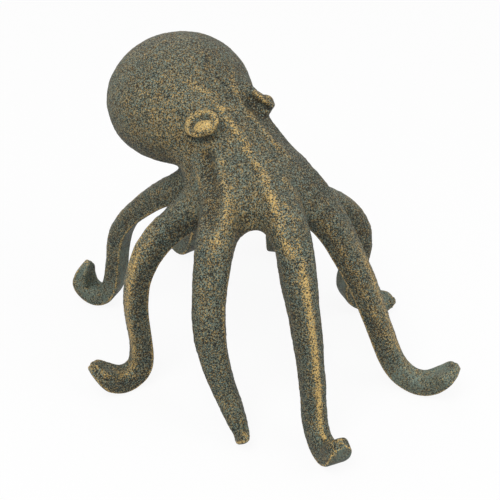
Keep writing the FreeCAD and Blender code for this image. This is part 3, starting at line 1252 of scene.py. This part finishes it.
@dataclass(frozen=True)
class WearAndPaintedLight:
    """Where the figurine was rubbed with gold, kept dark paint in its pores or turned brown, and where light
    and shade are painted onto it: a pool of light on the mantle, a highlight on one shoulder, and shade under
    it, on the arm flanks and on the head's +X side.
    """

    arm_skin: float = 3.0
    back_facing: Pair = (0.35, 0.70)
    bare_from: Pair = (0.66, 0.80)
    crest_from: Pair = (0.24, 0.42)
    crest_until: Pair = (0.90, 0.97)
    crest_facing: Pair = (0.3, 0.9)
    flank_facing: Pair = (0.55, 0.9)
    rim_from: Pair = (0.20, 0.34)
    rim_facing: Pair = (0.45, 0.22)
    rim_gold: float = 0.42
    sharp_edge: Pair = (0.05, 0.22)
    sharp_gold: float = 0.30
    wide_edge: Pair = (0.6, 2.2)
    wide_gold: float = 0.22
    hollow: Pair = (0.1, 1.2)
    # Painted light: a pool of light on the mantle's -X side, painted as more gold and less dark.
    mantle_light_place: tuple[Triple, Triple] = ((-28.0, 28.0, 128.0), (26.0, 26.0, 22.0))
    mantle_light_gold: float = 0.22
    mantle_light_lift: float = 0.2
    # Painted highlight on the shoulder of arm_left_front, painted as more gold.
    shoulder_light_place: tuple[Triple, Triple] = ((-27.0, -26.0, 104.0), (15.0, 15.0, 15.0))
    shoulder_light_gold: float = 0.24
    all_gold: float = 0.12
    sand_gold: float = 0.12
    back_loss: float = 0.7
    hollow_loss: float = 0.35
    # Painted shade on the head's +X side: less gold and more dark there.
    shade_right: Pair = (2, 12)
    shade_up: Pair = (96, 110)
    shade_behind: Pair = (16, 30)
    shade_loss: float = 0.10
    # Painted shade: surfaces that face down are painted darker.
    underside_shade_facing: Pair = (-0.05, 0.75)
    all_pit: float = 0.25
    hollow_pit: float = 0.75
    sand_pit: float = 0.4
    groove_pit: float = 0.8
    # Painted shade: the sideways-facing flanks of the arms are painted darker.
    flank_shade: float = 0.3
    shade_pit: float = 0.35
    back_clean: float = 0.5
    warm_right: Pair = (10, 60)
    warm_rise: float = 0.3
    warm_right_share: float = 0.45
    warm_up: Pair = (80, 135)
    warm_up_share: float = 0.35
    back_cool: float = 0.6
    back_smooth: float = 0.8

    def around(self, place: Array, spot: tuple[Triple, Triple]) -> Array:
        """Bell-shaped grade round a place on the body.

        Args:
            place: rows of points.
            spot: its middle, and how far it reaches along X, Y and Z.

        Returns:
            Grades from 0 to 1.
        """
        middle, reach = np.array(spot)
        return np.exp(-(((place - middle) / reach) ** 2).sum(1))


@dataclass
class Octopus:
    """The figurine: its form, its cast skin and its castings."""

    figure: Figure
    relief: Sequence[ReliefLine]
    voxel: float
    wear_and_light: WearAndPaintedLight = WearAndPaintedLight()
    sharp_rounds: int = 6
    wide_rounds: int = 60
    swells: Sequence[Triple] = ((1.0, 0.0, 9.0), (0.6, 31.0, 4.0))
    sands: Sequence[Triple] = ((0.6, 0.0, 1.5), (0.8, 17.0, 0.9))
    sand_height: float = 0.15
    swell_height: float = 0.22
    swell_share: Pair = (0.4, 0.6)
    back_polish: float = 0.85
    ground_fade: Pair = (0.2, 2.0)
    seed: int = 7

    def arm_faces(self, points: Array, normals: Array) -> tuple[Array, Array, Array, Array]:
        """How far points lie on the backs, crests, flanks and rims of the arms.

        Args:
            points: vertices of the skin.
            normals: their normals.

        Returns:
            1 on the smooth flat backs, the gold of the crests, 1 on the flanks, and 1 on the rims
            between flanks and backs; 0 elsewhere.
        """
        wear_and_light = self.wear_and_light
        backs, crests, flanks, rims = np.zeros((4, len(points)))
        least = np.full(len(points), FAR)
        for arm in self.figure.arms:
            gap = arm.distance(points)
            own = gap < least
            near = gap[own] < wear_and_light.arm_skin
            place = arm.locate(points[own])
            low = np.clip(place["spot"].astype(int), 0, arm.samples - 1)
            facing = (normals[own] * arm.outward[low]).sum(1)
            sideways = np.abs((normals[own] * arm.across[low]).sum(1))
            share = place["spot"] / arm.samples
            inner = place["outward"] < 0
            aside = place["across"] / place["half_width"] - arm.shine_shift
            reach = ramp(share, *wear_and_light.crest_from) * (1 - ramp(share, *wear_and_light.crest_until))
            flat = ramp(-facing, *wear_and_light.back_facing) * inner
            crest = arm.shine * bell(aside, 0, arm.shine_width) * reach * ramp(facing, *wear_and_light.crest_facing)
            turned = bell(-facing, *wear_and_light.rim_facing) * inner
            backs[own] = np.maximum(flat, arm.bare * ramp(share, *wear_and_light.bare_from)) * near
            crests[own] = crest * near
            flanks[own] = ramp(sideways, *wear_and_light.flank_facing) * near
            rims[own] = turned * ramp(share, *wear_and_light.rim_from) * near
            least[own] = gap[own]
        return backs, crests, flanks, rims

    def build(self) -> list[Patch]:
        """Find the skin, cast the relief and the sand into it, and part it.

        Returns:
            One patch for each casting.
        """
        skin = Skin(self.figure, self.voxel)
        skin.build()
        LOG.info("skin: %d vertices", len(skin.vertices))
        back, crest, flank, rim = self.arm_faces(skin.vertices, skin.normals)
        near, wide = ((skin.normals * (skin.vertices - skin.smoothed(rounds))).sum(1)
                      for rounds in (self.sharp_rounds, self.wide_rounds))
        lines, shift = np.zeros((2, len(skin.vertices)))
        for line in self.relief:
            close = line.nearness(skin.vertices)
            shift += line.mark.value * line.height * close
            lines += line.mark.value * line.rub * close
        golds, grooves = np.array([eye.marks(skin.vertices) for eye in self.figure.eyes]).sum(0)
        lines += golds - grooves + crest
        noise = Unevenness(self.seed)
        points = skin.vertices
        swell, sand = (sum(share * noise.at(points + off, cell) for share, off, cell in layers)
                       for layers in (self.swells, self.sands))
        rough = 1 - self.back_polish * back
        least, more = self.swell_share
        shift += self.swell_height * swell * (least + more * rough) + self.sand_height * sand * rough
        grounded = ramp(points[:, 2], *self.ground_fade)
        skin.vertices = points + skin.normals * (shift * grounded)[:, None]
        skin.vertices[:, 2] = np.maximum(skin.vertices[:, 2], 0)
        splitter = Splitter(skin)
        labels, names = splitter.labels()
        splitter.align(labels)
        skin.find_normals()
        masks = self.masks(skin, near, wide, lines, back, flank, rim, sand)
        return splitter.part(labels, names, masks)

    def masks(self, skin: Skin, near: Array, wide: Array, lines: Array, back: Array, flank: Array,
              rim: Array, sand: Array) -> dict[str, Array]:
        """What the finish reads at each vertex.

        Args:
            skin: the finished skin.
            near: how sharply it is raised close by.
            wide: how far it is raised over a wider stretch.
            lines: relief lines, above 0 on ridges and below 0 in grooves.
            back: the smooth backs of the arms.
            flank: the flanks of the arms.
            rim: the rims between flanks and backs.
            sand: the cast sand grain.

        Returns:
            Values for gold with painted light and painted shade in it, dark pores with painted shade added,
            brown and grain.
        """
        place, wear_and_light = skin.vertices, self.wear_and_light
        right, behind, up = place.T
        edge = ramp(near, *wear_and_light.sharp_edge) * wear_and_light.sharp_gold + ramp(wide, *wear_and_light.wide_edge) * wear_and_light.wide_gold
        hollow = ramp(-wide, *wear_and_light.hollow)
        # Painted light: the first is a pool of light on the mantle's -X side, the second a highlight on the
        # shoulder of arm_left_front.
        glow, shoulder_light = wear_and_light.around(place, wear_and_light.mantle_light_place), wear_and_light.around(place, wear_and_light.shoulder_light_place)
        # Painted shade on the +X side of the head, which takes gold away and adds dark.
        shaded = ramp(right, *wear_and_light.shade_right) * ramp(up, *wear_and_light.shade_up)
        # Gold from real rubbing on heights, edges and relief lines, plus painted light on the mantle and one
        # shoulder, less painted shade on the head's +X side.
        rub = wear_and_light.all_gold + edge + np.maximum(lines, 0) + wear_and_light.mantle_light_gold * glow
        # The shoulder patch here is painted light, laid on as gold.
        rub = (rub + wear_and_light.shoulder_light_gold * shoulder_light + wear_and_light.sand_gold * sand) * (1 - wear_and_light.back_loss * back)
        rub = rub - wear_and_light.hollow_loss * hollow - wear_and_light.shade_loss * shaded + wear_and_light.rim_gold * rim
        # Painted shade: surfaces that face down are darkened; the rest of this mask is real dark paint in
        # pores, hollows and grooves, lifted where light is painted.
        underside_shade = ramp(-skin.normals[:, 2], *wear_and_light.underside_shade_facing)
        pit = wear_and_light.all_pit + wear_and_light.hollow_pit * hollow - wear_and_light.sand_pit * sand * (1 - back) + underside_shade
        pit = pit + wear_and_light.groove_pit * np.maximum(-lines, 0) - wear_and_light.mantle_light_lift * glow
        # Painted shade on the front of the head's +X side.
        head_side_shade = shaded * (1 - ramp(behind, *wear_and_light.shade_behind))
        # Painted shade on the flanks of the arms and on the front of the head's +X side.
        pit = pit + (wear_and_light.flank_shade * flank + wear_and_light.shade_pit * head_side_shade) * (1 - back)
        warm = wear_and_light.warm_right_share * ramp(right + wear_and_light.warm_rise * up, *wear_and_light.warm_right)
        warm = warm + wear_and_light.warm_up_share * ramp(up, *wear_and_light.warm_up)
        return {
            "rub": np.clip(rub, 0, 1),
            "pit": np.clip(pit * (1 - wear_and_light.back_clean * back), 0, 1),
            "warm": np.clip(warm * (1 - wear_and_light.back_cool * back), 0, 1),
            "sand": 1 - wear_and_light.back_smooth * back,
        }


@dataclass(frozen=True)
class Lamp:
    """A soft square lamp: its place round the figurine in degrees and metres, its side and its watts."""

    name: str
    azimuth: float
    elevation: float
    distance: float
    size: float
    power: float


@dataclass
class Studio:
    """Floor, soft light and camera."""

    azimuth: float = -41.0
    elevation: float = 35.0
    distance: float = 0.600
    target: Triple = (0.0, 0.0, 0.062)
    lens: float = 86.4
    sensor: float = 36.0
    clip: Pair = (0.01, 50.0)
    world_light: float = 0.36
    floor_half: float = 4.0
    floor_drop: float = 0.0003
    lamps: Sequence[Lamp] = (
        Lamp("key", -65, 58, 1.3, 0.8, 9.6),
        Lamp("fill", 30, 38, 1.5, 1.0, 6.0),
        Lamp("rear", 165, 40, 1.6, 1.2, 3.5),
    )

    def direction(self, azimuth: float, elevation: float) -> Array:
        """Direction from the figurine towards a place in the studio."""
        turn, lift = math.radians(azimuth), math.radians(elevation)
        return np.array([math.sin(turn) * math.cos(lift), -math.cos(turn) * math.cos(lift), math.sin(lift)])

    def aim(self, thing: bpy.types.Object, azimuth: float, elevation: float, distance: float) -> None:
        """Put a lamp or the camera round the figurine, looking at its middle.

        Args:
            thing: the lamp or the camera.
            azimuth: where it stands round the figurine, in degrees.
            elevation: how high it stands, in degrees.
            distance: how far away it is, in metres.
        """
        back = self.direction(azimuth, elevation)
        thing.location = np.array(self.target) + back * distance
        turn = Vector([float(x) for x in -back]).to_track_quat("-Z", "Y")
        thing.rotation_euler = turn.to_euler()

    def hang(self, lamp: Lamp) -> None:
        """Add a soft square lamp.

        Args:
            lamp: its place, size and power.
        """
        data = bpy.data.lights.new(lamp.name, "AREA")
        data.size, data.energy = lamp.size, lamp.power
        made = bpy.data.objects.new(lamp.name, data)
        bpy.context.scene.collection.objects.link(made)
        self.aim(made, lamp.azimuth, lamp.elevation, lamp.distance)

    def build(self) -> None:
        """Lay the floor, light the world, hang the lamps and place the camera."""
        mesh = bpy.data.meshes.new("studio_floor")
        half = self.floor_half
        corners = [(-half, -half, 0), (half, -half, 0), (half, half, 0), (-half, half, 0)]
        mesh.from_pydata(corners, [], [(0, 1, 2, 3)])
        mesh.materials.append(StudioPaper().make())
        floor = bpy.data.objects.new("studio_floor", mesh)
        floor.location.z = -self.floor_drop
        bpy.context.scene.collection.objects.link(floor)
        world = bpy.data.worlds.new("studio_world")
        bpy.context.scene.world = world
        world.use_nodes = True
        bench = Bench(world.node_tree)
        strength = bench.seen() * (1 - self.world_light) + self.world_light
        glow = bench.node("ShaderNodeBackground", {}, {"Color": (1, 1, 1, 1), "Strength": strength})
        bench.node("ShaderNodeOutputWorld", {}, {"Surface": glow})
        for lamp in self.lamps:
            self.hang(lamp)
        view = bpy.data.cameras.new("camera")
        view.lens, view.sensor_width = self.lens, self.sensor
        view.clip_start, view.clip_end = self.clip
        camera = bpy.data.objects.new("camera", view)
        bpy.context.scene.collection.objects.link(camera)
        self.aim(camera, self.azimuth, self.elevation, self.distance)
        bpy.context.scene.camera = camera
        bpy.context.scene.view_settings.view_transform = "Standard"


def arm_forms() -> list[ArmForm]:
    """The eight arms, from the left rear round the front to the rear.

    Returns:
        Each arm, with a route of (distance out, height, offset across) and sizes of (share of the
        length, width, thickness).
    """
    far_sizes = ((0, 26, 18), (.15, 21, 16), (.3, 16, 12), (.5, 13, 11), (.7, 12, 10.5),
                 (.84, 12, 10), (.93, 13, 9))
    rear_sizes = ((.12, 20, 16), (.25, 15, 12), (.45, 12.5, 10), (.7, 12, 9.5), (.84, 12, 10),
                  (.93, 14, 9), (1, 12, 5))
    return [
        ArmForm("arm_left_rear", 113.9,
                ((6, 98, 0), (34, 91.5, 0), (58.6, 74, 0), (75, 51.8, 0), (80, 26, 0), (86, 9.5, 0),
                 (94, 5.5, 0), (100.2, 10.5, 0), (98, 23.5, 0)),
                ((0, 24, 20), *rear_sizes), shine=0.4, bare=0.8),
        ArmForm("arm_left_middle", 165.1,
                ((6, 106, 0), (27, 97, 0), (47.2, 85.5, 0), (59.3, 67.5, 0), (62.3, 45, 0), (61, 21, 0),
                 (64, 8.5, 0), (73, 5.5, 0), (86, 17, 0)),
                ((0, 24, 22), (.12, 20, 18), (.25, 14, 13), (.45, 12, 10.5), (.7, 11.4, 10),
                 (.84, 12.5, 10.5), (.93, 15, 10.5), (1, 15, 6)),
                shine=0.5, shine_width=0.6, shine_shift=0.35),
        ArmForm("arm_left_front", 225.2,
                ((2, 112, -6), (24, 106, -10), (43, 95, -13), (54, 77, -14.9), (60, 54, -14.7),
                 (64, 31, -9.5), (68, 14, -2.9), (72, 6, 1.6), (79.5, 10, 4.6)),
                ((0, 24, 22), (.2, 19, 19), (.4, 16.2, 15), (.6, 14.3, 12.5), (.75, 11.5, 11), (.88, 9.5, 10),
                 (.95, 9, 9), (1, 8, 5.5)),
                shine=0.10),
        ArmForm("arm_front", 252.1,
                ((4, 110, 0), (28, 106, 0), (45, 100, 0), (60, 80, -.5), (69, 54, .2), (76.5, 27, .2),
                 (82.5, 10, -.2), (92, 5.5, .6), (102.5, 19.8, 1.5)),
                ((0, 26, 22), (.15, 21, 19), (.3, 18, 15), (.45, 14, 13), (.6, 12, 11.5), (.75, 11.2, 10.5),
                 (.88, 11, 11.5), (.95, 12, 10.5), (1, 11, 6)),
                crest=((0, 1.5), (0.2, 2.6), (0.85, 2.4), (0.95, -0.5), (1, -0.9)),
                shine=0.7, shine_width=0.27, shine_shift=-0.14),
        ArmForm("arm_right_front", 297.2,
                ((6, 108, 0), (31, 100, 0), (48, 79.5, 0), (62, 52, 0), (72.5, 26, 0), (81.5, 9.8, 0),
                 (94, 5.5, 0), (109, 18.3, 0)),
                ((0, 26, 20), (.15, 21, 16), (.3, 16, 13), (.5, 13, 11), (.7, 11.5, 10.5), (.84, 11.5, 10),
                 (.93, 14, 9), (1, 17, 5.5)),
                shine=0.45, bare=0.8),
        ArmForm("arm_right_middle", 342.0,
                ((8, 95, 0), (32, 84.5, 0), (49.5, 75.5, 0), (60.3, 61, 0), (62, 44, 0), (59.5, 27, 3),
                 (62.5, 13, 7), (71, 5.5, 7), (83, 6.5, -3)),
                (*far_sizes, (1, 13, 5)), bare=0.7),
        ArmForm("arm_right_rear", 38.0,
                ((8, 98, 0), (36, 89, 0), (60, 76, 0), (77, 57, 0), (83, 38, 0), (82, 20, 0), (84, 9, 0),
                 (92, 5.5, 0), (102, 12, 0)),
                (*far_sizes, (1, 12, 5))),
        ArmForm("arm_rear", 86.0,
                ((4, 100, -14), (34, 88, -17), (56, 70, -19), (70, 48, -21), (79.5, 26, -22), (87, 9.5, -22),
                 (95, 5.5, -22), (102, 12, -22), (99, 23.5, -22)),
                ((0, 24, 18), *rear_sizes), bare=0.8),
    ]


def relief_lines() -> list[ReliefLine]:
    """Lines cast into the mantle, the head and the shoulders.

    Returns:
        Each line, with its points, its width, its height, how much it is rubbed and whether the
        other side has it too.
    """
    # The points were picked on the photograph and carried onto the skin, to half a millimetre.
    ridge, groove = Mark.RIDGE, Mark.GROOVE
    return [
        ReliefLine(ridge, ((-13.5, 29.5, 148.5), (-9.5, 23.5, 145.5), (-7.5, 19.5, 143), (-6, 13.5, 137.5)),
                   1.8, 0.5, 0.25, True),
        ReliefLine(ridge, ((-6, 13.5, 137.5), (-2, 12.5, 137), (4, 11.5, 136.5)), 1.5, 0.4, 0.22),
        ReliefLine(ridge, ((-6, 10, 135), (-6, 4.5, 132), (-6.5, -1, 129.5), (-7.5, -7, 126),
                           (-8.5, -12.5, 123), (-9.5, -19, 120.5), (-12, -25.5, 117.5), (-15.5, -33, 114)),
                   2.2, 0.8, 0.36, True),
        ReliefLine(ridge, ((-15.5, -33, 114), (-18, -39.5, 111), (-21, -46, 105.5), (-22.5, -53, 98.5)),
                   2.4, 0.8, 0.42),
        ReliefLine(groove, ((0.5, 25.5, 149), (3, 19.5, 143.5), (3.5, 12.5, 137.5), (4, 5, 133),
                            (4, -4.5, 128), (3, -13, 124)), 1.2, 0.6, 0.45),
        ReliefLine(ridge, ((-3, -28.5, 117), (-2.5, -34, 112.5), (-0.5, -37, 108), (-1, -43, 103)),
                   2.0, 0.6, 0.3),
        ReliefLine(groove, ((-22.5, 5, 121), (-26.5, -2, 116.5), (-32.5, -11.5, 113.5), (-40.5, -19.5, 107)),
                   3.4, 2.8, 2.0, True),
        ReliefLine(ridge, ((-20, -1, 122.5), (-24, -7.5, 118), (-29, -15.5, 114), (-34.5, -22, 110.5),
                           (-42.5, -26.5, 104.5), (-48.5, -31, 97)), 3.2, 0.9, 0.36),
        ReliefLine(ridge, ((-25, 10, 115), (-28, 3, 111.5), (-33, -4, 110)), 1.8, 0.6, 0.35),
        ReliefLine(groove, ((-25, 15.5, 112.5), (-29.5, 14.5, 104.5), (-37, 13.5, 99.5), (-42.5, 15, 95.5)),
                   2.2, 1.2, 0.6, True),
        ReliefLine(groove, ((-25.5, 23.5, 124), (-23.5, 18.5, 122), (-22.5, 12.5, 122), (-21.5, 7, 123)),
                   3.4, 0.8, 0.5, True),
        ReliefLine(ridge, ((-41, -33, 88.5), (-45, -35, 79), (-48, -37, 70), (-49, -38, 60),
                           (-49, -40, 49), (-48.5, -41.5, 38.5)), 1.3, 0.4, 0.4),
        ReliefLine(ridge, ((-29.5, 13, 105.5), (-37.5, 13, 99), (-44.5, 15, 94), (-52, 16.5, 87.5),
                           (-57.5, 17.5, 79), (-62, 17.5, 70.5)), 1.6, 0.4, 0.35),
        ReliefLine(ridge, ((10, -40, 94.5), (14, -45, 85), (18.5, -52, 70.5), (23, -59, 54.5),
                           (27.5, -65.5, 39), (32, -71, 24)), 2.4, 0.4, 0.25),
    ]


def make_figure() -> Figure:
    """Put the figurine's form together.

    Returns:
        The whole form.
    """
    eyes = [EyeForm(Side.LEFT), EyeForm(Side.RIGHT, shine=0.4)]
    arches = [WebArch(179, 30, 88, 6.0), WebArch(230, 18, 91, 5.5), WebArch(275, 42, 80, 7.0)]
    return Figure(BodyForm(), arm_forms(), arches, eyes, HollowForm())


def main() -> None:
    """Build the octopus and its studio in order."""
    logging.basicConfig(level=logging.INFO, format="%(name)s: %(message)s")
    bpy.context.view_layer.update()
    material = VerdigrisIron().make()
    octopus = Octopus(make_figure(), relief_lines(), FINE_VOXEL)
    for patch in octopus.build():
        Casting(patch, material).build()
    Studio().build()


if __name__ == "__main__":
    main()
